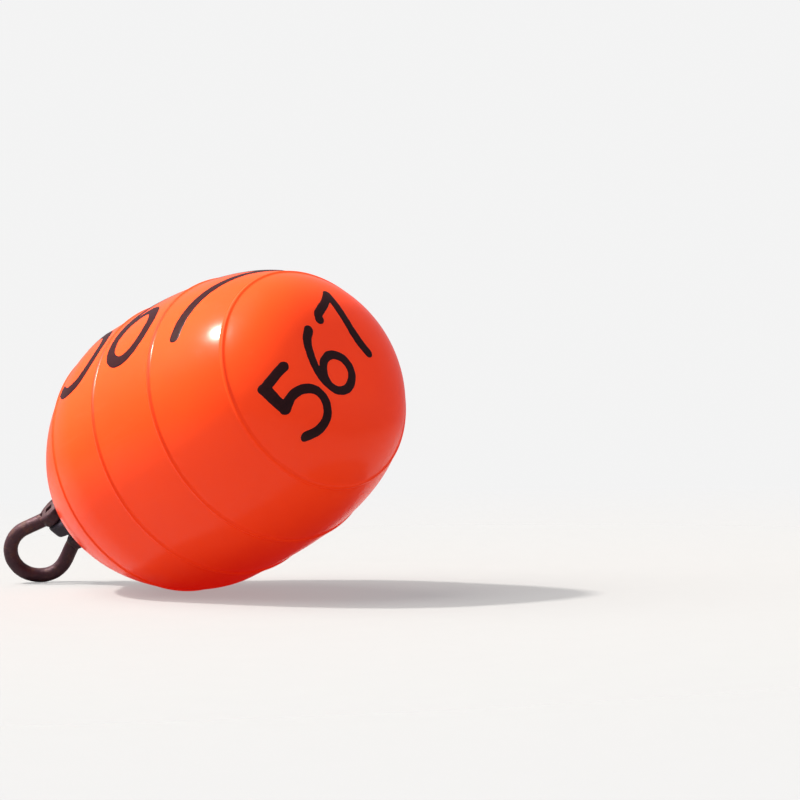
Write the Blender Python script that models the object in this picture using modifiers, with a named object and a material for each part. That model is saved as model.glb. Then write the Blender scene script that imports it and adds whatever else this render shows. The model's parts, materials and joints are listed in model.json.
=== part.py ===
"""Inflated marker float with a moulded rope eye, a bow shackle and an air valve.

The float lies along +X: the row origin is the centre of the flat disc on its
crown, +X points out of that disc, and +Z is up with the float lying down.
Everything is modelled in the float's own frame first: local Z runs along the
hull towards the crown, local X along the shackle pin, and local z = 0 is the
plane of the hull's largest radius (the belly).
"""

import math

import bmesh
import bpy
from mathutils import Matrix, Vector

# ---- hull --------------------------------------------------------------
HULL_RADIUS = 0.150          # radius at the belly
CROWN_LENGTH = 0.2708        # belly plane to the pole of the crown curve
CROWN_POWER = 2.77           # fullness of the crown along the axis
CROWN_ROUNDING = 3.38        # fullness of the crown across the axis
TAIL_LENGTH = 0.1911         # belly plane to the pole of the tail curve
TAIL_POWER = 1.60
TAIL_ROUNDING = 1.56
WALL = 0.004                 # vinyl wall
CROWN_DISC_RADIUS = 0.045    # flat disc moulded in the crown
RIB_STATIONS = (-0.043, 0.045, 0.136, 0.224)   # rib centres along the hull
RIB_HEIGHT = 0.0026
RIB_HALF_WIDTH = 0.0034
HULL_SIDES = 36

# ---- moulded rope eye --------------------------------------------------
GAP = 0.0003                 # clearance between touching pieces
EYE_PORT_RADIUS = 0.0263     # opening in the hull's tail for the eye's root
EYE_FLANGE_RADIUS = 0.038    # root flange inside the hull
EYE_SKIRT_RADIUS = 0.048     # rim of the skirt that laps over the tail
EYE_SKIRT_THICKNESS = 0.0050
EYE_BEYOND_POLE = 0.0468     # axis of the eye's hole to the pole of the tail curve
EYE_HOLE_RADIUS = 0.0125
LUG_THICKNESS = 0.018
LUG_NOSE_RADIUS = 0.020
LUG_ROOT_HALF_WIDTH = 0.030
CHEEK_SPLIT = 0.0212         # height over the hole that a shackle's lugs never reach
EYE_ROLL = math.radians(47.5)  # turn of the hole's axis about the hull's axis

# ---- bow shackle (16 mm, 19 mm flush pin) ------------------------------
ROD_RADIUS = 0.008
PIN_RADIUS = 0.0095
PIN_HOLE_RADIUS = PIN_RADIUS + 0.00035
JAW = 0.027                  # gap between the shackle's two lugs
BOSS_RADIUS = 0.0168
BOSS_WIDTH = 0.0145
BOW_RADIUS = 0.0316          # centreline radius of the bow
BOW_CENTRE = 0.0468          # pin axis to the centre of the bow
SHACKLE_DROOP = math.radians(31.8)   # rest angle of the shackle off the hull axis
SHACKLE_SLIDE = 0.004        # the jaw is wider than the eye and has slid down the pin
PIN_DROP = (-0.0022, -0.0010)  # the pin lies against the low side of the eye's hole
PIN_HEAD_RADIUS = 0.0115     # round head sunk in one lug
PIN_HEAD = 0.0050
PIN_SOCKET = 0.0095          # square socket across the flats
PIN_SOCKET_DEPTH = 0.0075
FLUSH = 0.0004               # pin ends below the lugs' outer faces

# ---- air valve ---------------------------------------------------------
VALVE_STATION = -0.150       # along the hull
BOSS_PAD_RADIUS = 0.0190     # thick pad moulded in the hull round the valve
BOSS_PAD_TOP = 0.0030
BOSS_PAD_DEPTH = 0.0080
HOUSING_RADIUS = 0.0100
HOUSING_FLANGE_RADIUS = 0.0150
HOUSING_FLANGE = 0.0030
HOUSING_BOTTOM = -0.0185
BARB_RADIUS = 0.0113
PLUG_BORE_RADIUS = 0.0063
BALL_RADIUS = 0.0037
CHAMBER_RADIUS = 0.0046
PASSAGE_RADIUS = 0.0025
PLUG_RADIUS = 0.0060
PLUG_HEAD_RADIUS = 0.0110
PLUG_HEAD = 0.0035
PLUG_LENGTH = 0.0111         # shank under the head
WASHER_RADIUS = 0.0105
WASHER = 0.0015

for old in list(bpy.data.objects):
    bpy.data.objects.remove(old, do_unlink=True)
for old in list(bpy.data.collections):
    bpy.data.collections.remove(old)

parts = bpy.data.collections.new("bobber_float")
cutters = bpy.data.collections.new("cutters")
bpy.context.scene.collection.children.link(parts)
bpy.context.scene.collection.children.link(cutters)


# ---- helpers -----------------------------------------------------------
def material(name, colour, roughness, metallic=0.0):
    mat = bpy.data.materials.new(name)
    mat.use_nodes = True
    shader = mat.node_tree.nodes["Principled BSDF"]
    shader.inputs["Base Color"].default_value = (*colour, 1.0)
    shader.inputs["Roughness"].default_value = roughness
    shader.inputs["Metallic"].default_value = metallic
    return mat


def place(obj, parent, mat=None, cutter=False):
    (cutters if cutter else parts).objects.link(obj)
    obj.parent = parent
    if cutter:
        obj.hide_render = True
        obj.display_type = "WIRE"
    if mat is not None:
        obj.data.materials.append(mat)
    return obj


def empty(name, parent, matrix):
    obj = bpy.data.objects.new(name, None)
    parts.objects.link(obj)
    obj.parent = parent
    obj.matrix_local = matrix
    return obj


def from_bmesh(name, bm):
    bmesh.ops.recalc_face_normals(bm, faces=bm.faces)
    mesh = bpy.data.meshes.new(name)
    bm.to_mesh(mesh)
    bm.free()
    mesh.shade_smooth()
    mesh.set_sharp_from_angle(angle=math.radians(35))
    return bpy.data.objects.new(name, mesh)


def turned(name, profile, steps):
    """A solid turned about local Z from (radius, z) points that run down its
    outer side."""
    mesh = bpy.data.meshes.new(name)
    mesh.from_pydata(
        [(r, 0.0, z) for r, z in profile],
        [(i, i + 1) for i in range(len(profile) - 1)],
        [],
    )
    obj = bpy.data.objects.new(name, mesh)
    screw = obj.modifiers.new("turn", "SCREW")
    screw.axis = "Z"
    screw.angle = 2 * math.pi
    screw.steps = screw.render_steps = steps
    screw.use_merge_vertices = True
    screw.merge_threshold = 0.00001
    screw.use_smooth_shade = True
    return obj


def ring(name, profile, steps):
    """A turned solid with a hole: its profile is a closed loop."""
    mesh = bpy.data.meshes.new(name)
    n = len(profile)
    mesh.from_pydata(
        [(r, 0.0, z) for r, z in profile], [(i, (i + 1) % n) for i in range(n)], []
    )
    obj = bpy.data.objects.new(name, mesh)
    screw = obj.modifiers.new("turn", "SCREW")
    screw.axis = "Z"
    screw.angle = 2 * math.pi
    screw.steps = screw.render_steps = steps
    screw.use_merge_vertices = True
    screw.merge_threshold = 0.00001
    screw.use_smooth_shade = True
    return obj


ALONG_X = Matrix.Rotation(math.pi / 2, 4, "Y")


def bar(name, radius, low, high, segments=32, turn=Matrix(), centre=(0, 0, 0)):
    """A round or many-sided bar from low to high along its own Z, then turned."""
    bm = bmesh.new()
    bmesh.ops.create_cone(
        bm,
        cap_ends=True,
        segments=segments,
        radius1=radius,
        radius2=radius,
        depth=high - low,
        matrix=Matrix.Translation(centre)
        @ turn
        @ Matrix.Translation((0, 0, (low + high) / 2)),
    )
    return from_bmesh(name, bm)


def rod(name, points, radius, resolution=4):
    """A round rod along points, as a closed mesh."""
    curve = bpy.data.curves.new(name, "CURVE")
    curve.dimensions = "3D"
    curve.bevel_depth = radius
    curve.bevel_resolution = resolution
    curve.use_fill_caps = True
    spline = curve.splines.new("POLY")
    spline.points.add(len(points) - 1)
    for point, co in zip(spline.points, points):
        point.co = (*co, 1.0)
    return meshed(name, curve)


def slab(name, outline, half_thickness):
    """A flat outline in XY, thickened both ways along Z, as a closed mesh."""
    curve = bpy.data.curves.new(name, "CURVE")
    curve.dimensions = "2D"
    curve.fill_mode = "BOTH"
    curve.extrude = half_thickness
    spline = curve.splines.new("POLY")
    spline.points.add(len(outline) - 1)
    spline.use_cyclic_u = True
    for point, (x, y) in zip(spline.points, outline):
        point.co = (x, y, 0.0, 1.0)
    return meshed(name, curve)


def meshed(name, curve):
    source = bpy.data.objects.new(name + "_curve", curve)
    parts.objects.link(source)
    graph = bpy.context.evaluated_depsgraph_get()
    mesh = bpy.data.meshes.new_from_object(source.evaluated_get(graph))
    mesh.name = name
    bpy.data.objects.remove(source, do_unlink=True)
    bm = bmesh.new()
    bm.from_mesh(mesh)
    bmesh.ops.remove_doubles(bm, verts=bm.verts, dist=0.00001)
    bmesh.ops.recalc_face_normals(bm, faces=bm.faces)
    bm.to_mesh(mesh)
    bm.free()
    mesh.shade_smooth()
    mesh.set_sharp_from_angle(angle=math.radians(35))
    return bpy.data.objects.new(name, mesh)


def boolean(obj, other, operation):
    modifier = obj.modifiers.new(operation.lower() + "_" + other.name, "BOOLEAN")
    modifier.operation = operation
    modifier.solver = "EXACT"
    modifier.object = other
    return modifier


def bevel(obj, width, segments=2, angle=35):
    modifier = obj.modifiers.new("edges", "BEVEL")
    modifier.width = width
    modifier.segments = segments
    modifier.limit_method = "ANGLE"
    modifier.angle_limit = math.radians(angle)
    return modifier


# ---- the hull's curve --------------------------------------------------
def hull_radius(s):
    """Radius of the hull without its ribs, at station s from the belly."""
    if s < 0:
        length, power, rounding = TAIL_LENGTH, TAIL_POWER, TAIL_ROUNDING
    else:
        length, power, rounding = CROWN_LENGTH, CROWN_POWER, CROWN_ROUNDING
    share = min(abs(s) / length, 1.0)
    return HULL_RADIUS * (1 - share**power) ** (1 / rounding)


def crown_station(radius):
    return CROWN_LENGTH * (1 - (radius / HULL_RADIUS) ** CROWN_ROUNDING) ** (
        1 / CROWN_POWER
    )


def tail_station(radius):
    return -TAIL_LENGTH * (1 - (radius / HULL_RADIUS) ** TAIL_ROUNDING) ** (
        1 / TAIL_POWER
    )


def hull_normal(s):
    """Outward normal of the hull's curve as (radial, axial)."""
    step = 0.00001
    slope = (hull_radius(s + step) - hull_radius(s - step)) / (2 * step)
    length = math.hypot(1.0, slope)
    return 1 / length, -slope / length


def offset(s, distance):
    radial, axial = hull_normal(s)
    return hull_radius(s) + distance * radial, s + distance * axial


def offset_station(distance, radius):
    """Tail station whose offset point lies at this radius."""
    low, high = -TAIL_LENGTH + 0.0002, -0.05
    for _ in range(60):
        middle = (low + high) / 2
        if offset(middle, distance)[0] < radius:
            low = middle
        else:
            high = middle
    return (low + high) / 2


def between(start, end, step):
    count = max(1, math.ceil(abs(end - start) / step))
    return [start + (end - start) * i / count for i in range(1, count)]


CROWN_Z = crown_station(CROWN_DISC_RADIUS)
EYE_Z = -TAIL_LENGTH - EYE_BEYOND_POLE

RIB_SECTION = ((1.0, 0.0), (0.58, 0.74), (0.0, 1.0), (-0.58, 0.74), (-1.0, 0.0))


def rib_points(station):
    """Outer profile over one rib, from its crown side to its tail side."""
    radial, _ = hull_normal(station)
    return [
        offset(station + RIB_HALF_WIDTH * radial * along, RIB_HEIGHT * up)
        for along, up in RIB_SECTION
    ]


PORT_STATION = tail_station(EYE_PORT_RADIUS)
# The skirt and the flange follow the hull at these same stations, so their
# facets run parallel to its facets.
LAP_STATIONS = [PORT_STATION + 0.0035 * i for i in range(1, 7)]


def hull_profile():
    outer = [(0.0, CROWN_Z), (CROWN_DISC_RADIUS, CROWN_Z)]
    top_rib_edge = RIB_STATIONS[-1] + RIB_HALF_WIDTH * hull_normal(RIB_STATIONS[-1])[0]
    edge_radius = hull_radius(top_rib_edge)
    for radius in between(CROWN_DISC_RADIUS, edge_radius, 0.013):
        outer.append(offset(crown_station(radius), 0.0))
    stations = sorted(RIB_STATIONS, reverse=True)
    for i, station in enumerate(stations):
        outer += rib_points(station)
        if i + 1 < len(stations):
            start = station - RIB_HALF_WIDTH
            end = stations[i + 1] + RIB_HALF_WIDTH
            outer += [offset(s, 0.0) for s in between(start, end, 0.020)]
    lap_end = LAP_STATIONS[-1]
    for s in between(stations[-1] - RIB_HALF_WIDTH, lap_end, 0.013):
        outer.append(offset(s, 0.0))
    outer += [offset(s, 0.0) for s in reversed(LAP_STATIONS)]
    outer.append((EYE_PORT_RADIUS, PORT_STATION))
    inner_port = offset_station(-WALL, EYE_PORT_RADIUS)
    inner = [(EYE_PORT_RADIUS, offset(inner_port, -WALL)[1])]
    inner += [offset(s, -WALL) for s in LAP_STATIONS if s > inner_port + 0.0008]
    inner += [offset(s, -WALL) for s in between(lap_end, 0.0, 0.030)]
    inner += [offset(s, -WALL) for s in between(0.0, 0.215, 0.045)]
    inner += [
        offset(crown_station(radius), -WALL)
        for radius in between(0.122, CROWN_DISC_RADIUS, 0.018)
    ]
    inner += [(CROWN_DISC_RADIUS - 0.002, CROWN_Z - WALL), (0.0, CROWN_Z - WALL)]
    return outer + inner


# ---- materials ---------------------------------------------------------
vinyl_orange = material("vinyl_orange", (0.83, 0.13, 0.035), 0.28)
vinyl_black = material("vinyl_black", (0.018, 0.020, 0.028), 0.42)
iron = material("iron", (0.055, 0.030, 0.036), 0.62, 0.75)
iron_pin = material("iron_pin", (0.060, 0.036, 0.040), 0.58, 0.75)
nylon_white = material("nylon_white", (0.72, 0.71, 0.66), 0.38)
nylon_clip = material("nylon_clip", (0.66, 0.65, 0.60), 0.42)
nylon_plug = material("nylon_plug", (0.030, 0.030, 0.034), 0.36)
rubber_washer = material("rubber_washer", (0.020, 0.020, 0.020), 0.70)
rubber_ball = material("rubber_ball", (0.030, 0.028, 0.026), 0.55)

# ---- frames ------------------------------------------------------------
pin_axis = Vector((0, math.sin(EYE_ROLL), -math.cos(EYE_ROLL)))
hull_axis = Vector((1, 0, 0))
side_axis = hull_axis.cross(pin_axis)
columns = Matrix((pin_axis, side_axis, hull_axis)).transposed().to_4x4()
float_frame = empty(
    "float_frame", None, Matrix.Translation((-CROWN_Z, 0, 0)) @ columns
)
shackle_frame = empty(
    "shackle_frame",
    float_frame,
    Matrix.Translation((SHACKLE_SLIDE, PIN_DROP[0], EYE_Z + PIN_DROP[1]))
    @ Matrix.Rotation(-SHACKLE_DROOP, 4, "X"),
)
valve_radial, valve_axial = hull_normal(VALVE_STATION)
valve_out = Vector((0, valve_radial, valve_axial))
valve_side = Vector((1, 0, 0))
valve_turn = (
    Matrix((valve_side, valve_out.cross(valve_side), valve_out)).transposed().to_4x4()
)
valve_frame = empty(
    "valve_frame",
    float_frame,
    Matrix.Translation((0, hull_radius(VALVE_STATION), VALVE_STATION)) @ valve_turn,
)

# ---- float_body: hollow vinyl hull with four ribs ----------------------
float_body = place(
    turned("float_body", hull_profile(), HULL_SIDES), float_frame, vinyl_orange
)
valve_pad = place(
    bar("valve_pad", BOSS_PAD_RADIUS, -BOSS_PAD_DEPTH, BOSS_PAD_TOP, 32),
    valve_frame,
    cutter=True,
)
bevel(valve_pad, 0.0012, 2)
valve_hole = place(
    bar("valve_hole", HOUSING_RADIUS + GAP, -0.02, 0.02, 32), valve_frame, cutter=True
)
boolean(float_body, valve_pad, "UNION")
boolean(float_body, valve_hole, "DIFFERENCE")


# ---- rope_eye: solid moulding locked in the hull's tail ----------------
def eye_profile():
    """Flange inside the hull, root through the port, skirt lapped outside."""
    root = EYE_PORT_RADIUS - GAP
    flange_edge = offset_station(-WALL - GAP, EYE_FLANGE_RADIUS)
    flange_root = offset_station(-WALL - GAP, root)
    top = offset(flange_edge, -WALL - GAP)[1] + 0.0045
    profile = [(0.0, top), (EYE_FLANGE_RADIUS - 0.002, top), (EYE_FLANGE_RADIUS, top - 0.002)]
    profile.append(offset(flange_edge, -WALL - GAP))
    profile += [
        offset(s, -WALL - GAP)
        for s in reversed(LAP_STATIONS)
        if flange_root + 0.0008 < s < flange_edge - 0.0008
    ]
    profile.append(offset(flange_root, -WALL - GAP))
    skirt_root = offset_station(GAP, root)
    skirt_rim = offset_station(GAP, EYE_SKIRT_RADIUS)
    profile.append(offset(skirt_root, GAP))
    profile += [
        offset(s, GAP)
        for s in LAP_STATIONS
        if skirt_root + 0.0008 < s < skirt_rim - 0.0008
    ]
    profile.append(offset(skirt_rim, GAP))
    profile.append(offset(skirt_rim, 0.0025))
    profile.append(offset(skirt_rim - 0.0015, 0.0042))
    outer_end = offset_station(EYE_SKIRT_THICKNESS, 0.030)
    profile += [
        offset(s, EYE_SKIRT_THICKNESS)
        for s in between(skirt_rim - 0.0035, outer_end, 0.004)
    ]
    neck = offset(outer_end, EYE_SKIRT_THICKNESS)
    profile.append(neck)
    profile += [
        (0.0228, neck[1] - 0.0040),
        (0.0176, neck[1] - 0.0080),
        (0.0138, neck[1] - 0.0122),
        (0.0106, neck[1] - 0.0168),
        (0.0, neck[1] - 0.0190),
    ]
    return profile


def lug_outline():
    """Lug in its own plane: x is across the lug, y is up the hull's axis from
    the hole."""
    root_y = -TAIL_LENGTH + 0.0075 - EYE_Z
    reach = math.hypot(LUG_ROOT_HALF_WIDTH, root_y)
    lean = math.atan2(LUG_ROOT_HALF_WIDTH, root_y)
    touch = math.acos(LUG_NOSE_RADIUS / reach)
    start = math.pi / 2 - lean - touch
    points = [(LUG_ROOT_HALF_WIDTH, root_y)]
    count = 20
    end = -math.pi - start
    for i in range(count + 1):
        angle = start + (end - start) * i / count
        points.append(
            (LUG_NOSE_RADIUS * math.cos(angle), LUG_NOSE_RADIUS * math.sin(angle))
        )
    points.append((-LUG_ROOT_HALF_WIDTH, root_y))
    return points


rope_eye = place(turned("rope_eye", eye_profile(), HULL_SIDES), float_frame, vinyl_black)
lug = place(
    slab("eye_lug", lug_outline(), LUG_THICKNESS / 2), float_frame, cutter=True
)
# Each cheek is one face beside the hole and another face behind it, which no
# shackle lug reaches.
bm = bmesh.new()
bm.from_mesh(lug.data)
bmesh.ops.bisect_plane(
    bm,
    geom=bm.verts[:] + bm.edges[:] + bm.faces[:],
    dist=0.000001,
    plane_co=(0, CHEEK_SPLIT, 0),
    plane_no=(0, 1, 0),
)
bm.to_mesh(lug.data)
bm.free()
# The slab's outline plane (x, y) becomes the float's (Y, Z) plane.
lug.matrix_local = Matrix.Translation((0, 0, EYE_Z)) @ Matrix(
    ((0, 0, 1, 0), (1, 0, 0, 0), (0, 1, 0, 0), (0, 0, 0, 1))
)
bevel(lug, 0.0035, 3, 50)
eye_hole = place(
    bar("eye_hole", EYE_HOLE_RADIUS, -0.03, 0.03, 32, ALONG_X, (0, 0, EYE_Z)),
    float_frame,
    cutter=True,
)
boolean(rope_eye, lug, "UNION")
boolean(rope_eye, eye_hole, "DIFFERENCE")


# ---- shackle_bow -------------------------------------------------------
def bow_path():
    """Centreline of the bow from one lug round to the other: (x, down)."""
    join = math.radians(-18)
    start = (BOW_RADIUS * math.cos(join), BOW_CENTRE + BOW_RADIUS * math.sin(join))
    foot = JAW / 2 + BOSS_WIDTH / 2
    leg = []
    # A cubic leg: straight out of the lug, then tangent to the bow.
    pull = 0.016
    ends = (
        Vector((foot, 0.0)),
        Vector((foot, pull)),
        Vector((start[0] + pull * math.sin(join), start[1] - pull * math.cos(join))),
        Vector(start),
    )
    for i in range(7):
        t = i / 7
        leg.append(
            ends[0] * (1 - t) ** 3
            + ends[1] * 3 * t * (1 - t) ** 2
            + ends[2] * 3 * t * t * (1 - t)
            + ends[3] * t**3
        )
    arc = []
    count = 22
    for i in range(count + 1):
        angle = join + (math.pi - 2 * join) * i / count
        arc.append(
            Vector(
                (
                    BOW_RADIUS * math.cos(angle),
                    BOW_CENTRE + BOW_RADIUS * math.sin(angle),
                )
            )
        )
    mirrored = [Vector((-p.x, p.y)) for p in reversed(leg)]
    return [(p.x, 0.0, -p.y) for p in leg + arc + mirrored]


shackle_bow = place(rod("shackle_bow", bow_path(), ROD_RADIUS, 4), shackle_frame, iron)
for side, name in ((1, "boss_a"), (-1, "boss_b")):
    low, high = JAW / 2, JAW / 2 + BOSS_WIDTH
    if side < 0:
        low, high = -high, -low
    boss = place(
        bar(name, BOSS_RADIUS, low, high, 32, ALONG_X), shackle_frame, cutter=True
    )
    bevel(boss, 0.0018, 2, 60)
    boolean(shackle_bow, boss, "UNION")
shackle_hole = place(
    bar("shackle_hole", PIN_HOLE_RADIUS, -0.05, 0.05, 32, ALONG_X),
    shackle_frame,
    cutter=True,
)
boolean(shackle_bow, shackle_hole, "DIFFERENCE")

BOSS_OUTER = JAW / 2 + BOSS_WIDTH
head_seat = place(
    bar(
        "head_seat",
        PIN_HEAD_RADIUS + GAP,
        -BOSS_OUTER - 0.005,
        -BOSS_OUTER + FLUSH + PIN_HEAD + GAP,
        32,
        ALONG_X,
    ),
    shackle_frame,
    cutter=True,
)
boolean(shackle_bow, head_seat, "DIFFERENCE")

# ---- shackle_pin: flush screw pin with a square socket in its head -----
shackle_pin = place(
    bar(
        "shackle_pin",
        PIN_RADIUS,
        -BOSS_OUTER + FLUSH + 0.002,
        BOSS_OUTER - FLUSH,
        32,
        ALONG_X,
    ),
    shackle_frame,
    iron_pin,
)
bevel(shackle_pin, 0.0010, 1, 60)
pin_head = place(
    bar(
        "pin_head",
        PIN_HEAD_RADIUS,
        -BOSS_OUTER + FLUSH,
        -BOSS_OUTER + FLUSH + PIN_HEAD,
        32,
        ALONG_X,
    ),
    shackle_frame,
    cutter=True,
)
bevel(pin_head, 0.0006, 1, 60)
bm = bmesh.new()
bmesh.ops.create_cube(
    bm,
    size=1.0,
    matrix=Matrix.Translation((-BOSS_OUTER + FLUSH, 0, 0))
    @ Matrix.Diagonal((2 * PIN_SOCKET_DEPTH, PIN_SOCKET, PIN_SOCKET, 1.0)),
)
pin_socket = place(from_bmesh("pin_socket", bm), shackle_frame, cutter=True)
boolean(shackle_pin, pin_head, "UNION")
boolean(shackle_pin, pin_socket, "DIFFERENCE")

# ---- valve_housing: threaded insert pressed in the hull's pad ----------
seat = BOSS_PAD_TOP + GAP
housing_top = seat + HOUSING_FLANGE
bore_floor = housing_top - PLUG_LENGTH + WASHER + 2 * GAP - 0.0012
passage_end = bore_floor - 0.0020
cone_end = passage_end - (CHAMBER_RADIUS - PASSAGE_RADIUS)
valve_housing = place(
    ring(
        "valve_housing",
        [
            (PLUG_BORE_RADIUS + 0.0006, housing_top),
            (HOUSING_FLANGE_RADIUS - 0.0008, housing_top),
            (HOUSING_FLANGE_RADIUS, housing_top - 0.0008),
            (HOUSING_FLANGE_RADIUS, seat),
            (HOUSING_RADIUS, seat),
            (HOUSING_RADIUS, -BOSS_PAD_DEPTH - GAP),
            (BARB_RADIUS, -BOSS_PAD_DEPTH - GAP),
            (BARB_RADIUS, -BOSS_PAD_DEPTH - GAP - 0.0006),
            (HOUSING_RADIUS - 0.0012, -BOSS_PAD_DEPTH - GAP - 0.0030),
            (HOUSING_RADIUS - 0.0012, HOUSING_BOTTOM),
            (CHAMBER_RADIUS, HOUSING_BOTTOM),
            (CHAMBER_RADIUS, cone_end),
            (PASSAGE_RADIUS, passage_end),
            (PASSAGE_RADIUS, bore_floor),
            (PLUG_BORE_RADIUS, bore_floor),
            (PLUG_BORE_RADIUS, housing_top - 0.0006),
        ],
        24,
    ),
    valve_frame,
    nylon_white,
)

# ---- check_ball: rests against the cone, held there by the air inside --
# The cone leans 45 degrees, so a ball of this radius plus the gap touches it
# at this height below the cone's apex.
cone_apex = passage_end + PASSAGE_RADIUS
ball_rest = cone_apex - math.sqrt(2) * (BALL_RADIUS + GAP)
bm = bmesh.new()
bmesh.ops.create_uvsphere(bm, u_segments=16, v_segments=10, radius=BALL_RADIUS)
check_ball = place(from_bmesh("check_ball", bm), valve_frame, rubber_ball)
check_ball.location = (0, 0, ball_rest)

# ---- ball_retainer: cap with air holes snapped on the housing ----------
cap_inner = HOUSING_RADIUS - 0.0012 + GAP
cap_floor = HOUSING_BOTTOM - GAP
ball_retainer = place(
    turned(
        "ball_retainer",
        [
            (0.0, cap_floor),
            (cap_inner, cap_floor),
            (cap_inner, cap_floor + 0.0050),
            (cap_inner + 0.0012, cap_floor + 0.0050),
            (cap_inner + 0.0012, cap_floor - 0.0008),
            (cap_inner + 0.0004, cap_floor - 0.0016),
            (0.0, cap_floor - 0.0016),
        ],
        32,
    ),
    valve_frame,
    nylon_clip,
)
for i in range(3):
    angle = 2 * math.pi * i / 3
    air_hole = place(
        bar(
            "air_hole_%d" % i,
            0.0009,
            cap_floor - 0.004,
            cap_floor + 0.003,
            10,
            centre=(0.0031 * math.cos(angle), 0.0031 * math.sin(angle), 0),
        ),
        valve_frame,
        cutter=True,
    )
    boolean(ball_retainer, air_hole, "DIFFERENCE")

# ---- plug_washer and valve_plug ----------------------------------------
washer_base = housing_top + GAP
plug_washer = place(
    ring(
        "plug_washer",
        [
            (PLUG_RADIUS + 0.0004, washer_base + WASHER),
            (WASHER_RADIUS, washer_base + WASHER),
            (WASHER_RADIUS, washer_base),
            (PLUG_RADIUS + 0.0004, washer_base),
        ],
        32,
    ),
    valve_frame,
    rubber_washer,
)
head_base = washer_base + WASHER + GAP
head_top = head_base + PLUG_HEAD
valve_plug = place(
    turned(
        "valve_plug",
        [
            (0.0, head_top),
            (PLUG_HEAD_RADIUS - 0.0010, head_top),
            (PLUG_HEAD_RADIUS, head_top - 0.0010),
            (PLUG_HEAD_RADIUS, head_base),
            (PLUG_RADIUS, head_base),
            (PLUG_RADIUS, head_base - PLUG_LENGTH + 0.0010),
            (PLUG_RADIUS - 0.0010, head_base - PLUG_LENGTH),
            (0.0, head_base - PLUG_LENGTH),
        ],
        32,
    ),
    valve_frame,
    nylon_plug,
)
bm = bmesh.new()
bmesh.ops.create_cube(
    bm,
    size=1.0,
    matrix=Matrix.Translation((0, 0, head_top))
    @ Matrix.Diagonal((0.0024, 0.0300, 0.0040, 1.0)),
)
coin_slot = place(from_bmesh("coin_slot", bm), valve_frame, cutter=True)
boolean(valve_plug, coin_slot, "DIFFERENCE")
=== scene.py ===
"""Looks of an inflated marker float: vinyl hull, painted digits, moulded rope
eye, forged shackle and air valve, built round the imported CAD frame.

The hull's axis lies along X. Its flat crown faces +X with its middle at the
origin, and its tail, with the rope eye and shackle, points to -X. A station is
a distance along the axis from the belly, where the hull is widest, positive
towards the crown."""

import json
import math

import bmesh
import bpy
import numpy as np
from mathutils import Matrix, Vector, noise


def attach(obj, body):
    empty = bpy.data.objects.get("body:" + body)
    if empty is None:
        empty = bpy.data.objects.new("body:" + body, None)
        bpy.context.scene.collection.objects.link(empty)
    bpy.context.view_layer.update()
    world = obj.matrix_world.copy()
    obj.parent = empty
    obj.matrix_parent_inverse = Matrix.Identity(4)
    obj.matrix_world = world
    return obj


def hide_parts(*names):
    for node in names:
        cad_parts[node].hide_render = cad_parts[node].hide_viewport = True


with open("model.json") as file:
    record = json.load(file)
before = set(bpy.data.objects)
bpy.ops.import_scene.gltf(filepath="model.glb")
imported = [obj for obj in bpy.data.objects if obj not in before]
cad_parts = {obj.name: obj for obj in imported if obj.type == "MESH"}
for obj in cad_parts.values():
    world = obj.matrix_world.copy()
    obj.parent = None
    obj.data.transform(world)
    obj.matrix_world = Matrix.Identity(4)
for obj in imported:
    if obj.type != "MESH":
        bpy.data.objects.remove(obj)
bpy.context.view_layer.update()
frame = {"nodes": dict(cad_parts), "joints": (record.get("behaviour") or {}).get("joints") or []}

scene = bpy.context.scene
joints = {joint["name"]: joint for joint in frame["joints"]}

# ------------------------------------------------------------------ hull curve
HULL_RADIUS = 0.150
# Each end's length from the belly, and its curve's power and rounding.
CROWN_END = (0.2708, 2.77, 3.38)
TAIL_END = (0.1911, 1.60, 1.56)
TAIL_LENGTH = TAIL_END[0]
WALL = 0.004
CROWN_DISC_RADIUS = 0.045
RIB_STATIONS = (-0.043, 0.045, 0.136, 0.224)
RIB_HEIGHT = 0.0014
RIB_HALF_WIDTH = 0.00205
EYE_PORT_RADIUS = 0.0263
GAP = 0.0003  # between neighbouring parts


def hull_radius(station):
    length, power, rounding = TAIL_END if station < 0 else CROWN_END
    share = min(abs(station) / length, 1.0)
    return HULL_RADIUS * (1 - share**power) ** (1 / rounding)


def reach(end, radius):
    """Distance from the belly at which this end has narrowed to the radius."""
    length, power, rounding = end
    return length * (1 - (radius / HULL_RADIUS) ** rounding) ** (1 / power)


def hull_normal(station):
    """Outward normal as its radial and axial parts."""
    step = 0.00001
    slope = (hull_radius(station + step) - hull_radius(station - step)) / (2 * step)
    length = math.hypot(1.0, slope)
    return 1 / length, -slope / length


def offset(station, distance):
    """Radius and station of a point this far off the hull curve."""
    radial, axial = hull_normal(station)
    return hull_radius(station) + distance * radial, station + distance * axial


def tail_offset_station(distance, radius):
    """Tail station whose offset point lies at this radius."""
    low, high = -TAIL_LENGTH + 0.0002, -0.05
    for _ in range(60):
        middle = (low + high) / 2
        if offset(middle, distance)[0] < radius:
            low = middle
        else:
            high = middle
    return (low + high) / 2


CROWN_STATION = reach(CROWN_END, CROWN_DISC_RADIUS)
PORT_STATION = -reach(TAIL_END, EYE_PORT_RADIUS)


# ---------------------------------------------------------------- local frames
def axes_matrix(origin, x_axis, y_axis, z_axis):
    return Matrix.Translation(origin) @ Matrix(
        (x_axis, y_axis, z_axis)
    ).transposed().to_4x4()


EYE_SETBACK = 0.0468  # eye's centre beyond the end of the tail curve
SHACKLE_DROOP = math.radians(31.8)

pin_centre = Vector(joints["shackle_swing"]["pos_m"])
pin_axis = Vector(joints["shackle_swing"]["axis"]).normalized()
valve_point = Vector(joints["plug_turn"]["pos_m"])
valve_out = Vector(joints["plug_turn"]["axis"]).normalized()
hull_axis = Vector((1, 0, 0))

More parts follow.
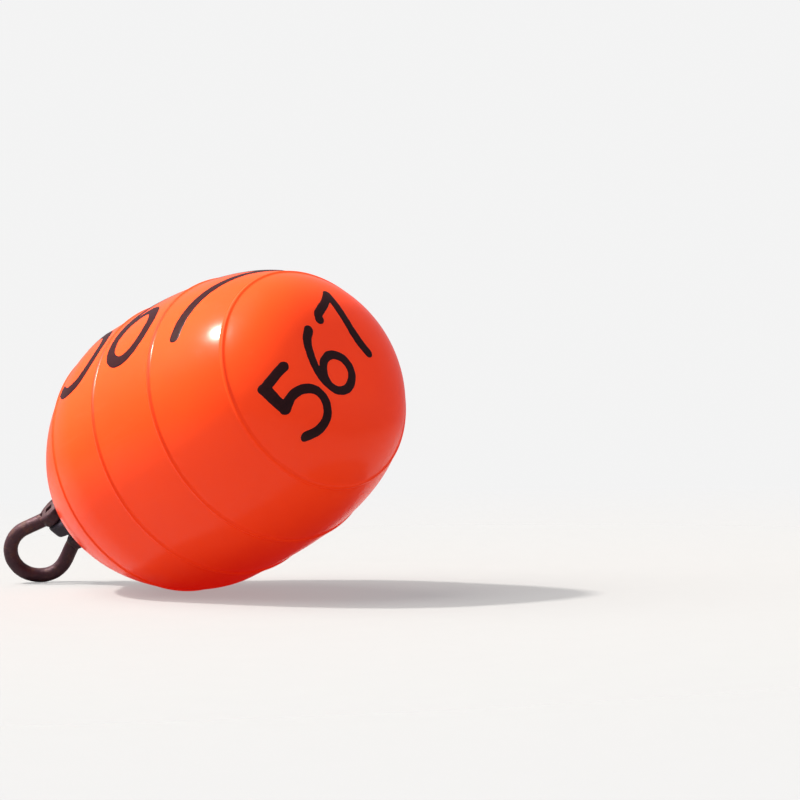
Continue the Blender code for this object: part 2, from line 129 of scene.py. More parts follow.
BELLY = Vector((-CROWN_STATION, 0, 0))
EYE_STATION = -TAIL_LENGTH - EYE_SETBACK
# Float: X along the pin, Z along the hull. Valve: Z out of the hull.
FLOAT = axes_matrix(BELLY, pin_axis, hull_axis.cross(pin_axis), hull_axis)
SHACKLE = (
    Matrix.Translation(pin_centre)
    @ FLOAT.to_3x3().to_4x4()
    @ Matrix.Rotation(-SHACKLE_DROOP, 4, "X")
)
VALVE = axes_matrix(valve_point, pin_axis, valve_out.cross(pin_axis), valve_out)
ALONG_X = Matrix.Rotation(math.pi / 2, 4, "Y")  # lays local Z along X


# --------------------------------------------------------------------- helpers
def link(obj):
    scene.collection.objects.link(obj)
    return obj


def mesh_object(name, verts, faces, matrix=None):
    mesh = bpy.data.meshes.new(name)
    mesh.from_pydata(verts, [], faces)
    shape = bmesh.new()
    shape.from_mesh(mesh)
    bmesh.ops.recalc_face_normals(shape, faces=shape.faces)
    shape.to_mesh(mesh)
    shape.free()
    obj = link(bpy.data.objects.new(name, mesh))
    if matrix is not None:
        mesh.transform(matrix)
    mesh.shade_smooth()
    return obj


def settle(obj):
    """Makes the object's modifiers final."""
    graph = bpy.context.evaluated_depsgraph_get()
    graph.update()
    mesh = bpy.data.meshes.new_from_object(obj.evaluated_get(graph))
    obj.modifiers.clear()
    old = obj.data
    obj.data = mesh
    mesh.name = obj.name
    bpy.data.meshes.remove(old)
    return obj


def cut(obj, other, operation="DIFFERENCE"):
    modifier = obj.modifiers.new("cut", "BOOLEAN")
    modifier.operation = operation
    modifier.solver = "EXACT"
    modifier.object = other
    settle(obj)
    bpy.data.objects.remove(other, do_unlink=True)


def bevel(obj, width, segments, angle):
    modifier = obj.modifiers.new("edges", "BEVEL")
    modifier.width = width
    modifier.segments = segments
    modifier.limit_method = "ANGLE"
    modifier.angle_limit = math.radians(angle)
    return settle(obj)


def sharpen(obj, angle):
    obj.data.shade_smooth()
    obj.data.set_sharp_from_angle(angle=math.radians(angle))


def circle(radius, sides):
    angles = [2 * math.pi * k / sides for k in range(sides)]
    return [(radius * math.cos(angle), radius * math.sin(angle)) for angle in angles]


def band(first, second, sides):
    """Faces between two rings of points, given by their first points."""
    faces = []
    for k in range(sides):
        after = (k + 1) % sides
        faces.append((first + k, second + k, second + after, first + after))
    return faces


def fan(sides):
    """Faces between point 0 and the ring that follows it."""
    return [(0, 1 + k, 1 + (k + 1) % sides) for k in range(sides)]


def revolve(name, profile, sides, matrix, closed=False):
    """Turns (radius, z) points about local Z. Points with no radius become one
    vertex; a closed profile makes a ring."""
    verts, rows = [], []
    for radius, z in profile:
        if radius < 1e-7:
            rows.append([len(verts)] * sides)
            verts.append((0.0, 0.0, z))
        else:
            rows.append(list(range(len(verts), len(verts) + sides)))
            verts += [(x, y, z) for x, y in circle(radius, sides)]
    faces = []
    pairs = list(zip(rows, rows[1:]))
    if closed:
        pairs.append((rows[-1], rows[0]))
    for upper, lower in pairs:
        for k in range(sides):
            after = (k + 1) % sides
            face = []
            for index in (upper[k], lower[k], lower[after], upper[after]):
                if index not in face:
                    face.append(index)
            if len(face) > 2:
                faces.append(face)
    return mesh_object(name, verts, faces, matrix)


def rod(name, points, radius, sides, matrix, normal):
    """A round rod along points that lie in a plane with this normal, capped."""
    verts, faces = [], []
    count = len(points)
    for i, point in enumerate(points):
        before = points[max(i - 1, 0)]
        after = points[min(i + 1, count - 1)]
        side = normal.cross((after - before).normalized()).normalized()
        for k in range(sides):
            angle = 2 * math.pi * k / sides
            verts.append(point + radius * (math.cos(angle) * side + math.sin(angle) * normal))
    for i in range(count - 1):
        first, second = i * sides, (i + 1) * sides
        for k in range(sides):
            after = (k + 1) % sides
            faces.append((first + k, first + after, second + after, second + k))
    faces.append(tuple(range(sides)))
    faces.append(tuple((count - 1) * sides + k for k in range(sides)))
    return mesh_object(name, [tuple(vert) for vert in verts], faces, matrix)


def solid_bar(name, radius, low, high, sides, matrix, chamfer=0.0):
    if chamfer:
        edge = [(radius - chamfer, high), (radius, high - chamfer)]
        edge += [(radius, low + chamfer), (radius - chamfer, low)]
    else:
        edge = [(radius, high), (radius, low)]
    return revolve(name, [(0.0, high), *edge, (0.0, low)], sides, matrix)


def box(name, size, place, matrix):
    shape = bmesh.new()
    bmesh.ops.create_cube(shape, size=1.0, matrix=place @ Matrix.Diagonal((*size, 1.0)))
    mesh = bpy.data.meshes.new(name)
    shape.to_mesh(mesh)
    shape.free()
    mesh.transform(matrix)
    return link(bpy.data.objects.new(name, mesh))


def smooth(obj, iterations, group=""):
    modifier = obj.modifiers.new("soft", "SMOOTH")
    modifier.factor = 0.5
    modifier.iterations = iterations
    modifier.vertex_group = group
    settle(obj)
    obj.data.shade_smooth()


def soften(obj, voxel, iterations):
    """One even skin with soft inner corners, as moulding or forging leaves."""
    remesh = obj.modifiers.new("skin", "REMESH")
    remesh.mode = "VOXEL"
    remesh.voxel_size = voxel
    remesh.adaptivity = 0.0
    smooth(obj, iterations)


def read_points(obj, attribute):
    values = np.empty(len(obj.data.vertices) * 3, np.float32)
    obj.data.vertices.foreach_get(attribute, values)
    return values.reshape(-1, 3)


def roughen(obj, amounts):
    """Moves the points along their normals by seeded noise: (scale, height)."""
    places = read_points(obj, "co")
    normals = read_points(obj, "normal")
    lift = np.zeros(len(places), np.float32)
    for scale, height in amounts:
        lift += np.array(
            [height * noise.noise(Vector(place) * scale) for place in places.tolist()],
            np.float32,
        )
    places += normals * lift[:, None]
    obj.data.vertices.foreach_set("co", places.ravel())
    obj.data.update()


def curve_through(points, per_span=14):
    """A smooth line through points."""
    points = [Vector(point) for point in points]
    line = []
    for i in range(len(points) - 1):
        before = points[max(i - 1, 0)]
        start, end = points[i], points[i + 1]
        after = points[min(i + 2, len(points) - 1)]
        for j in range(per_span):
            share = j / per_span
            line.append(
                0.5
                * (
                    2 * start
                    + (end - before) * share
                    + (2 * before - 5 * start + 4 * end - after) * share * share
                    + (3 * start - before - 3 * end + after) * share**3
                )
            )
    line.append(points[-1])
    return line


# ------------------------------------------------------------------- materials
class Nodes:
    """Short names for building one node tree."""

    def __init__(self, tree, space):
        self.tree = tree
        self.position = self.add("ShaderNodeTexCoord").outputs[space]

    def add(self, kind, **values):
        node = self.tree.nodes.new(kind)
        for key, value in values.items():
            setattr(node, key, value)
        return node

    def join(self, source, target):
        self.tree.links.new(source, target)

    def feed(self, socket, value):
        """Links an output, or sets a number or a colour."""
        if hasattr(value, "is_linked"):
            self.join(value, socket)
        elif hasattr(value, "__len__"):
            socket.default_value = (*value, 1.0)
        else:
            socket.default_value = value

    def stretch(self, scale):
        node = self.add("ShaderNodeMapping")
        node.inputs["Scale"].default_value = scale
        self.join(self.position, node.inputs["Vector"])
        return node.outputs["Vector"]

    def noise(self, scale, detail=4.0, rough=0.5, vector=None, distortion=0.0):
        node = self.add("ShaderNodeTexNoise")
        node.inputs["Scale"].default_value = scale
        node.inputs["Detail"].default_value = detail
        node.inputs["Roughness"].default_value = rough
        node.inputs["Distortion"].default_value = distortion
        self.join(vector or self.position, node.inputs["Vector"])
        return node.outputs["Fac"]

    def cells(self, scale):
        node = self.add("ShaderNodeTexVoronoi")
        node.inputs["Scale"].default_value = scale
        self.join(self.position, node.inputs["Vector"])
        return node.outputs["Distance"]

    def stops(self, fac, stops):
        """A ramp of (place, grey or colour) stops."""
        node = self.add("ShaderNodeValToRGB")
        elements = node.color_ramp.elements
        while len(elements) < len(stops):
            elements.new(0.5)
        for element, (place, colour) in zip(elements, stops):
            element.position = place
            if not hasattr(colour, "__len__"):
                colour = (colour,) * 3
            element.color = (*colour, 1.0)
        self.join(fac, node.inputs["Fac"])
        return node.outputs["Color"]

    def ramp(self, fac, span, first=0.0, last=1.0):
        """Goes from first to last as fac crosses the span."""
        return self.stops(fac, ((span[0], first), (span[1], last)))

    def math(self, operation, *operands):
        node = self.add("ShaderNodeMath", operation=operation)
        for socket, value in zip(node.inputs, operands):
            self.feed(socket, value)
        return node.outputs[0]

    def times(self, first, second):
        return self.math("MULTIPLY", first, second)

    def vary(self, value, swing, base):
        """base + swing * value."""
        return self.math("ADD", self.times(value, swing), base)

    def mix(self, fac, first, second):
        node = self.add("ShaderNodeMix", data_type="RGBA")
        for i, value in ((0, fac), (6, first), (7, second)):
            self.feed(node.inputs[i], value)
        return node.outputs[2]

    def tint(self, under, mask, amount, colour):
        """Lays a colour over another where the mask is, at most by amount."""
        return self.mix(self.times(mask, amount), under, colour)

    def bump(self, height, strength, distance, normal=None):
        node = self.add("ShaderNodeBump")
        node.inputs["Strength"].default_value = strength
        node.inputs["Distance"].default_value = distance
        self.join(height, node.inputs["Height"])
        if normal is not None:
            self.join(normal, node.inputs["Normal"])
        return node.outputs["Normal"]

    def axis(self, name):
        node = self.add("ShaderNodeSeparateXYZ")
        self.join(self.position, node.inputs[0])
        return node.outputs[name]

    def facing(self, direction):
        """Position along a direction, taken from -1..1 to 0..1."""
        node = self.add("ShaderNodeVectorMath", operation="DOT_PRODUCT")
        self.join(self.position, node.inputs[0])
        node.inputs[1].default_value = direction
        return self.math("MULTIPLY_ADD", node.outputs["Value"], 0.5, 0.5)

    def pointiness(self):
        return self.add("ShaderNodeNewGeometry").outputs["Pointiness"]

    def camera_ray(self):
        return self.add("ShaderNodeLightPath").outputs["Is Camera Ray"]


class Surface(Nodes):
    """A material with its Principled shader."""

    def __init__(self, name):
        self.material = bpy.data.materials.new(name)
        self.material.use_nodes = True
        super().__init__(self.material.node_tree, "Object")
        self.shader = self.tree.nodes["Principled BSDF"]
        self.output = self.tree.nodes["Material Output"]

    def set(self, name, value):
        self.feed(self.shader.inputs[name], value)


# Direction towards the key light, along which the painted rib shade is laid, scaled to reach about
# one at the hull's radius.
KEY_LIGHT_SIDE = (0.0, -3.54, 5.65)
CROWN_RIB_X = -0.09  # only the rib nearest the crown lies beyond this


def vinyl_hull():
    mat = Surface("hull_vinyl")
    cloud = mat.noise(scale=7.0, detail=3.0)
    grain = mat.noise(scale=160.0, detail=5.0, rough=0.6)
    base = mat.ramp(
        cloud, span=(0.30, 0.70), first=(0.74, 0.072, 0.0085), last=(0.77, 0.082, 0.0100)
    )
    # Handling scuffs: faint rubs and finer scratches.
    rubs = mat.noise(
        scale=1.0, detail=6.0, rough=0.65, vector=mat.stretch((9.0, 70.0, 70.0)), distortion=0.4
    )
    rub_mask = mat.ramp(rubs, span=(0.60, 0.74))
    scratch = mat.noise(
        scale=1.0, detail=3.0, rough=0.7, vector=mat.stretch((420.0, 26.0, 26.0)), distortion=1.2
    )
    scratch_mask = mat.ramp(scratch, span=(0.70, 0.76))
    specks = mat.ramp(mat.cells(scale=85.0), span=(0.02, 0.05), first=1.0, last=0.0)
    colour = mat.tint(base, rub_mask, amount=0.05, colour=(0.76, 0.22, 0.10))
    colour = mat.tint(colour, specks, amount=0.30, colour=(0.20, 0.030, 0.010))
    # Painted shade on the ribs: a deeper red, strongest on the side the key light faces, and a
    # darker line of painted shade with a little dirt along their roots.
    along = mat.axis("X")
    nearest = None
    for station in RIB_STATIONS:
        away = mat.math("ABSOLUTE", mat.math("SUBTRACT", along, station - CROWN_STATION))
        nearest = away if nearest is None else mat.math("MINIMUM", nearest, away)
    centimetres = mat.times(nearest, 100.0)
    rib = mat.ramp(centimetres, span=(0.12, 0.26), first=1.0, last=0.0)
    root = mat.stops(centimetres, ((0.10, 0.0), (0.17, 1.0), (0.23, 1.0), (0.34, 0.0)))
    # Mask of the side that faces the key light, where the painted rib shade lies.
    lit_side_shade = mat.ramp(mat.facing(KEY_LIGHT_SIDE), span=(0.42, 0.72), first=0.10)
    # The painted rib shade is fainter on the crown's rib than on the others.
    shade_outside_crown = mat.times(mat.math("LESS_THAN", along, CROWN_RIB_X), 0.6)
    lit_side_shade = mat.times(lit_side_shade, mat.math("ADD", shade_outside_crown, 0.4))
    root_patchiness = mat.ramp(mat.noise(scale=60.0, detail=5.0, rough=0.7), span=(0.35, 0.65), first=0.15)
    # Painted shade: the ribs tinted a deeper red.
    colour = mat.tint(
        colour, mat.times(rib, lit_side_shade), amount=0.38, colour=(0.42, 0.020, 0.0050)
    )
    # Painted shade, with a little dirt, along the rib roots.
    root_shade_and_dirt = mat.times(mat.times(root, root_patchiness), lit_side_shade)
    colour = mat.tint(colour, root_shade_and_dirt, amount=0.30, colour=(0.16, 0.012, 0.006))
    # Patches of faint grime that fade upwards.
    low = mat.ramp(mat.axis("Z"), span=(0.0, 1.0), first=1.0, last=0.0)
    patches = mat.ramp(mat.noise(scale=22.0, detail=6.0, rough=0.7), span=(0.52, 0.75))
    grime = mat.times(patches, 0.10)
    mat.set("Base Color", mat.mix(mat.times(grime, low), colour, (0.16, 0.04, 0.02)))
    rough = mat.vary(grain, swing=0.05, base=0.170)
    for mask, amount in ((rub_mask, 0.08), (scratch_mask, 0.08), (rib, 0.30)):
        rough = mat.math("ADD", rough, mat.times(mask, amount))
    mat.set("Roughness", rough)
    mat.set("IOR", 1.50)
    # The ribs shine less.
    mat.set("Specular IOR Level", mat.math("SUBTRACT", 0.28, mat.times(rib, 0.18)))
    # Painted light: a red glow, standing for fluorescent pigment, lifts the red on the shaded
    # side, and a little less on the ribs under their painted shade.
    painted_glow = mat.tint(
        (0.42, 0.0040, 0.0016),
        mat.times(rib, lit_side_shade),
        amount=0.2,
        colour=(0.22, 0.0020, 0.0010),
    )
    mat.set("Emission Color", painted_glow)
    mat.set("Emission Strength", 1.0)
    normal = mat.bump(mat.noise(scale=46.0, detail=3.0), strength=0.08, distance=0.0006)
    normal = mat.bump(grain, strength=0.08, distance=0.0002, normal=normal)
    normal = mat.bump(scratch_mask, strength=0.25, distance=-0.00005, normal=normal)
    mat.set("Normal", normal)
    return mat.material


def vinyl_eye():
    mat = Surface("eye_vinyl")
    cloud = mat.noise(scale=30.0, detail=5.0, rough=0.6)
    edges = mat.ramp(mat.pointiness(), span=(0.50, 0.56))
    worn = mat.times(edges, mat.noise(scale=90.0, rough=0.7))
    base = mat.ramp(
        cloud, span=(0.3, 0.7), first=(0.018, 0.013, 0.024), last=(0.030, 0.022, 0.036)
    )
    colour = mat.tint(base, worn, amount=0.5, colour=(0.055, 0.048, 0.062))
    dust = mat.ramp(mat.noise(scale=14.0, detail=6.0, rough=0.75), span=(0.55, 0.80), last=0.35)
    mat.set("Base Color", mat.tint(colour, dust, amount=0.4, colour=(0.09, 0.075, 0.075)))
    mat.set("Roughness", mat.ramp(cloud, span=(0.2, 0.8), first=0.42, last=0.60))
    mat.set("Specular IOR Level", 0.35)
    mat.set("IOR", 1.5)
    normal = mat.bump(mat.noise(scale=240.0, rough=0.6), strength=0.22, distance=0.0002)
    waves = mat.noise(scale=40.0, detail=3.0)
    mat.set("Normal", mat.bump(waves, strength=0.18, distance=0.0006, normal=normal))
    return mat.material


def iron(name, dark, light, rust_amount, metallic):
    mat = Surface(name)
    patch = mat.noise(scale=26.0, detail=8.0, rough=0.68)
    fine = mat.noise(scale=420.0, detail=6.0, rough=0.7)
    scale = mat.noise(scale=110.0, detail=6.0, rough=0.65, distortion=0.5)
    base = mat.ramp(patch, span=(0.30, 0.68), first=dark, last=light)
    rusty = mat.ramp(mat.noise(scale=95.0, detail=9.0, rough=0.74), span=(0.50, 0.60))
    rust_mask = mat.times(rusty, rust_amount)
    rust = mat.ramp(
        fine, span=(0.3, 0.7), first=(0.060, 0.020, 0.014), last=(0.180, 0.070, 0.040)
    )
    colour = mat.mix(rust_mask, base, rust)
    edge = mat.ramp(mat.pointiness(), span=(0.515, 0.57))
    edge = mat.times(edge, mat.ramp(scale, span=(0.35, 0.65), first=0.2))
    colour = mat.tint(colour, edge, amount=0.6, colour=(0.22, 0.17, 0.17))
    pits = mat.ramp(mat.cells(scale=300.0), span=(0.0, 0.35), first=1.0, last=0.0)
    mat.set("Base Color", mat.tint(colour, pits, amount=0.35, colour=(0.020, 0.010, 0.012)))
    mat.set("Metallic", mat.math("SUBTRACT", metallic, mat.times(rust_mask, metallic)))
    rough = mat.vary(fine, swing=0.25, base=0.40)
    mat.set("Roughness", mat.math("ADD", rough, mat.times(rust_mask, 0.15)))
    normal = mat.bump(scale, strength=0.60, distance=0.0009)
    normal = mat.bump(rust_mask, strength=0.50, distance=0.0003, normal=normal)
    normal = mat.bump(fine, strength=0.45, distance=0.0003, normal=normal)
    mat.set("Normal", mat.bump(pits, strength=0.45, distance=-0.0003, normal=normal))
    return mat.material


def paint():
    mat = Surface("black_paint")
    streak = mat.noise(scale=1.0, detail=5.0, rough=0.6, vector=mat.stretch((160.0, 420.0, 420.0)))
    colour = mat.ramp(
        streak, span=(0.3, 0.75), first=(0.018, 0.0030, 0.0045), last=(0.040, 0.0050, 0.0070)
    )
    thin = mat.ramp(mat.noise(scale=130.0, detail=6.0, rough=0.7), span=(0.66, 0.80), last=0.45)
    mat.set("Base Color", mat.mix(thin, colour, (0.16, 0.020, 0.010)))
    mat.set("Roughness", mat.ramp(streak, span=(0.2, 0.8), first=0.30, last=0.46))
    mat.set("Specular IOR Level", 0.20)
    normal = mat.bump(streak, strength=0.35, distance=0.0002)
    waves = mat.noise(scale=60.0, detail=3.0)
    mat.set("Normal", mat.bump(waves, strength=0.2, distance=0.0004, normal=normal))
    return mat.material


def nylon(name, light, dark, rough):
    mat = Surface(name)
    cloud = mat.noise(scale=180.0, rough=0.6)
    grime = mat.ramp(mat.noise(scale=700.0, detail=6.0, rough=0.7), span=(0.50, 0.72), last=0.5)
    base = mat.ramp(cloud, span=(0.3, 0.7), first=light, last=dark)
    mat.set("Base Color", mat.mix(grime, base, tuple(part * 0.45 for part in dark)))
    mat.set("Roughness", mat.vary(cloud, swing=0.15, base=rough))
    fine = mat.noise(scale=1500.0, detail=3.0)
    mat.set("Normal", mat.bump(fine, strength=0.2, distance=0.00008))
    return mat.material


def rubber(name, colour):
    mat = Surface(name)
    cloud = mat.noise(scale=400.0, detail=5.0, rough=0.7)
    pale = tuple(part * 2.2 for part in colour)
    mat.set("Base Color", mat.ramp(cloud, span=(0.3, 0.7), first=colour, last=pale))
    mat.set("Roughness", mat.vary(cloud, swing=0.2, base=0.6))
    fine = mat.noise(scale=2200.0, rough=0.6)
    mat.set("Normal", mat.bump(fine, strength=0.3, distance=0.00008))
    return mat.material


HULL = vinyl_hull()
EYE = vinyl_eye()
IRON = iron(
    "shackle_iron",
    dark=(0.044, 0.018, 0.026), light=(0.086, 0.034, 0.046), rust_amount=0.60, metallic=0.40,
)
PIN_IRON = iron(
    "pin_iron",
    dark=(0.060, 0.028, 0.035), light=(0.100, 0.050, 0.058), rust_amount=0.35, metallic=0.50,
)
PAINT = paint()
NYLON = nylon("valve_nylon", light=(0.66, 0.64, 0.58), dark=(0.58, 0.56, 0.49), rough=0.34)
CLIP = nylon("clip_nylon", light=(0.60, 0.58, 0.52), dark=(0.52, 0.50, 0.44), rough=0.40)
PLUG = nylon("plug_nylon", light=(0.020, 0.020, 0.024), dark=(0.034, 0.034, 0.040), rough=0.34)
WASHER = rubber("washer_rubber", colour=(0.012, 0.012, 0.012))
BALL = rubber("ball_rubber", colour=(0.020, 0.017, 0.015))


def repaint(obj, material):
    obj.data.materials.clear()
    obj.data.materials.append(material)


def dress(obj, material, body, slot_name, *nodes):
    repaint(obj, material)
    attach(obj, body)
    if nodes:
        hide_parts(*nodes)


# ------------------------------------------------------------------- hull skin
HULL_SIDES = 288
CROWN_LIMIT = 0.108  # radius where rows by radius give way to rows by station
ROW_STEP = 0.0030
RIB_ROW_STEP = 0.00055
RIB_ROW_REACH = 0.0055  # half width of the finer rows at a rib
INNER_SIDE_STATION = 0.232  # where the inner side gives way to the inner crown
VALVE_CUT_RADIUS = 0.0165


def rib_lift(station):
    lift = 0.0
    for rib in RIB_STATIONS:
        distance = (station - rib) / hull_normal(rib)[0]
        lift += RIB_HEIGHT * math.exp(-((abs(distance) / RIB_HALF_WIDTH) ** 2.6))
    return lift


def disc_soft(radius):
    """Station of the crown at this radius, with the flat disc's edge blended."""
    drop = CROWN_STATION - reach(CROWN_END, radius)
    return CROWN_STATION - 0.5 * (drop + math.hypot(drop, 0.0005))


def swell(point):
    """Unevenness that moulding and inflation leave, along the normal."""
    return 0.00016 * noise.noise(point * 9.0) + 0.00004 * noise.noise(point * 40.0)


def hull_point(station, theta, height=0.0):
    """A point on the hull's skin: theta turns from +Z towards -Y."""
    radial, axial = hull_normal(station)
    out = Vector((0.0, -math.sin(theta), math.cos(theta)))
    base = BELLY + Vector((station, 0, 0)) + out * hull_radius(station)
    normal = Vector((axial, 0, 0)) + out * radial
    return base + normal * (rib_lift(station) + swell(base) + height)


def crown_point(y, z, height=0.0):
    radius = max(math.hypot(y, z), 1e-6)
    step = 0.0005
    inner = max(radius - step, 1e-6)
    slope = (disc_soft(radius + step) - disc_soft(inner)) / (radius + step - inner)
    out = Vector((0.0, y / radius, z / radius))
    normal = Vector((1.0, 0, 0)) - out * slope
    normal.normalize()
    base = BELLY + Vector((disc_soft(radius), 0, 0)) + out * radius
    return base + normal * (swell(base) + height)


def side_stations():
    stations = []
    station = reach(CROWN_END, CROWN_LIMIT)
    while station > PORT_STATION:
        stations.append(station)
        near = min(abs(station - rib) for rib in RIB_STATIONS)
        step = RIB_ROW_STEP if near < RIB_ROW_REACH else ROW_STEP
        station -= step * max(hull_normal(station)[0], 0.25)
    return stations + [PORT_STATION]


def inner_profile():
    """(radius, station) points of the wall's inner face, from port to crown."""
    port = tail_offset_station(-WALL, EYE_PORT_RADIUS)
    profile = [(EYE_PORT_RADIUS, offset(port, -WALL)[1])]
    for i in range(1, 61):
        profile.append(offset(port + (INNER_SIDE_STATION - port) * i / 60, -WALL))
    for i in range(1, 12):
        radius = 0.110 + (0.040 - 0.110) * i / 11
        profile.append(offset(reach(CROWN_END, radius), -WALL))
    profile.append((0.020, CROWN_STATION - WALL))
    return profile


def hull_skin():
    sides = HULL_SIDES
    angles = [2 * math.pi * k / sides for k in range(sides)]
    verts = [tuple(crown_point(0.0, 0.0))]
    radius = 0.006
    while radius < CROWN_LIMIT:
        for angle in angles:
            point = crown_point(-radius * math.sin(angle), radius * math.cos(angle))
            verts.append(tuple(point))
        radius += ROW_STEP
    for station in side_stations():
        verts += [tuple(hull_point(station, angle)) for angle in angles]
    for radius, station in inner_profile():
        for angle in angles:
            y, z = -radius * math.sin(angle), radius * math.cos(angle)
            verts.append((BELLY.x + station, y, z))
    last = len(verts) - sides
    verts.append((BELLY.x + CROWN_STATION - WALL, 0.0, 0.0))
    faces = fan(sides)
    for first in range(1, last, sides):
        faces += band(first, first + sides, sides)
    for k in range(sides):
        faces.append((last + k, len(verts) - 1, last + (k + 1) % sides))
    return mesh_object("hull_skin", verts, faces)


hull = hull_skin()
cut(hull, solid_bar("valve_cut", VALVE_CUT_RADIUS, -0.020, 0.020, 64, VALVE))
sharpen(hull, 50)
dress(hull, HULL, "hull", "hull_vinyl", "float_body")

# ------------------------------------------------------------------- valve pad
PAD_TOP, PAD_DEPTH = 0.0030, 0.0080  # above and below the valve's plane
PAD_FOOT_RADIUS, PAD_FLANK = 0.0235, 0.0050
PAD_SINK = 0.00035  # the flank's foot starts this far under the skin
PAD_EDGE_DROP = 0.0003
BARREL_RADIUS = 0.0100
PAD_HOLE = BARREL_RADIUS + GAP


def skin_height(x, y):
    """Height of the plain hull over the valve's own plane."""
    point = VALVE @ Vector((x, y, 0.0))
    for _ in range(4):
        station = point.x + CROWN_STATION
        radial, axial = hull_normal(station)
        out = Vector((0, point.y, point.z)).normalized()
        above = math.hypot(point.y, point.z) - hull_radius(station)
        normal = Vector((axial, 0, 0)) + out * radial
        point = point - valve_out * (above * radial / max(normal.dot(valve_out), 0.2))
    return (VALVE.inverted() @ point).z


def valve_pad():
    """A round boss that grows out of the tail round the valve."""
    sides, flank_steps = 96, 12
    verts = []
    for i in range(flank_steps + 1):
        share = i / flank_steps
        ease = share * share * (3 - 2 * share)
        for x, y in circle(PAD_FOOT_RADIUS - PAD_FLANK * share, sides):
            low = skin_height(x, y) - PAD_SINK + PAD_SINK * ease
            verts.append((x, y, low + (PAD_TOP - PAD_EDGE_DROP - low) * ease))
    # Radius and height over the pad's top.
    top_and_hole = (
        (0.0182, -0.0002), (0.0176, 0.0), (0.0150, 0.0), (0.0112, 0.0),
        (PAD_HOLE + 0.0003, 0.0), (PAD_HOLE, -0.0004),
        (PAD_HOLE, -PAD_TOP - PAD_DEPTH), (0.0185, -PAD_TOP - PAD_DEPTH),
    )
    for radius, height in top_and_hole:
        verts += [(x, y, PAD_TOP + height) for x, y in circle(radius, sides)]
    faces = []
    for first in range(0, len(verts), sides):
        faces += band(first, (first + sides) % len(verts), sides)
    return mesh_object("hull_valve_pad", verts, faces, VALVE)


pad = valve_pad()
sharpen(pad, 50)
dress(pad, HULL, "hull", "hull_vinyl")

# ---------------------------------------------------------------- brush digits
# Brush strokes as (across, up) points on a box DIGIT_BOX_WIDTH wide and 1 high.
DIGIT_BOX_WIDTH = 0.62
DIGITS = {
    "5": [
        [(0.56, 0.985), (0.40, 1.0), (0.15, 0.99)],
        [(0.15, 0.99), (0.10, 0.76), (0.085, 0.575)],
        [
            (0.085, 0.575), (0.26, 0.635), (0.46, 0.575), (0.60, 0.40), (0.58, 0.19),
            (0.42, 0.03), (0.20, 0.0), (0.01, 0.085),
        ],
    ],
    "6": [
        [
            (0.53, 0.985), (0.33, 0.90), (0.14, 0.68), (0.03, 0.42), (0.05, 0.15),
            (0.20, 0.015), (0.40, 0.01), (0.56, 0.13), (0.59, 0.33), (0.47, 0.50),
            (0.28, 0.53), (0.11, 0.43), (0.04, 0.30),
        ],
    ],
    "7": [
        [(0.02, 0.93), (0.10, 0.985), (0.35, 0.975), (0.61, 0.985)],
        [(0.61, 0.985), (0.47, 0.74), (0.33, 0.45), (0.25, 0.20), (0.22, 0.0)],
    ],
}
PAINT_CELL = 0.0008
PAINT_ROOT = -0.0004  # the film's underside, sunk into the skin
PAINT_EDGE, PAINT_CORE = 0.00008, 0.00020  # height at the edge, and more inside
PAINT_SHOULDER = 0.0014  # distance over which the film thickens
EDGE_WAVES = ((150, 0.00045), (600, 0.00018))  # noise scale, height


def brush_dabs(digit, height, width, brush, seed, slant):
    """Centres and radii of the dabs that make up the digit's strokes."""
    centres, radii = [], []
    for number, stroke in enumerate(DIGITS[digit]):
        line = curve_through(
            [(across / DIGIT_BOX_WIDTH * width, up * height) for across, up in stroke]
        )
        for i, point in enumerate(line):
            share = i / (len(line) - 1)
            wobble = noise.noise(Vector((share * 4.0, seed * 3.1, number * 1.7)))
            # The brush presses harder at the start and lightens to the end.
            start = math.exp(-((share / 0.07) ** 2))
            press = 1.0 + 0.07 * wobble + 0.05 * start - 0.08 * share
            centres.append((point.x + slant * point.y, point.y))
            radii.append(brush / 2 * press)
    return np.array(centres), np.array(radii)


def paint_field(centres, radii, brush, seed):
    """Grid lines both ways and the distance to the paint's edge, negative inside."""
    low = centres.min(0) - brush
    high = centres.max(0) + brush
    columns, rows = [int((high[i] - low[i]) / PAINT_CELL) + 2 for i in range(2)]
    across = low[0] + PAINT_CELL * np.arange(columns)
    up = low[1] + PAINT_CELL * np.arange(rows)
    field = np.full((columns, rows), 1.0)
    for (middle_x, middle_y), radius in zip(centres, radii):
        edge = np.hypot(across[:, None] - middle_x, up[None, :] - middle_y) - radius
        field = np.minimum(field, edge)
    for i in range(columns):
        for j in range(rows):
            if abs(field[i, j]) < 0.004:
                for scale, height in EDGE_WAVES:
                    place = Vector((across[i] * scale, up[j] * scale, seed))
                    field[i, j] += height * noise.noise(place)
    return across, up, field


def trace_paint(across, up, field):
    """Cuts the grid's cells at the field's zero line. Returns the flat points,
    their depths inside the edge and the polygons."""
    index, flat, depth = {}, [], []

    def corner(i, j):
        key = ("c", i, j)
        if key not in index:
            index[key] = len(flat)
            flat.append((across[i], up[j]))
            depth.append(-field[i, j])
        return index[key]

    def crossing(i, j, k, l):
        key = ("e", min(i, k), min(j, l), max(i, k), max(j, l))
        if key not in index:
            here, there = field[i, j], field[k, l]
            share = min(max(here / (here - there), 0.04), 0.96)
            index[key] = len(flat)
            x = across[i] + (across[k] - across[i]) * share
            y = up[j] + (up[l] - up[j]) * share
            flat.append((x, y))
            depth.append(0.0)
        return index[key]

    polygons = []
    for i in range(len(across) - 1):
        for j in range(len(up) - 1):
            ring = ((i, j), (i + 1, j), (i + 1, j + 1), (i, j + 1))
            if min(field[spot] for spot in ring) >= 0:
                continue
            polygon = []
            for here, there in zip(ring, ring[1:] + ring[:1]):
                if field[here] < 0:
                    polygon.append(corner(*here))
                if (field[here] < 0) != (field[there] < 0):
                    polygon.append(crossing(*here, *there))
            if len(polygon) > 2:
                polygons.append(polygon)
    return flat, depth, polygons


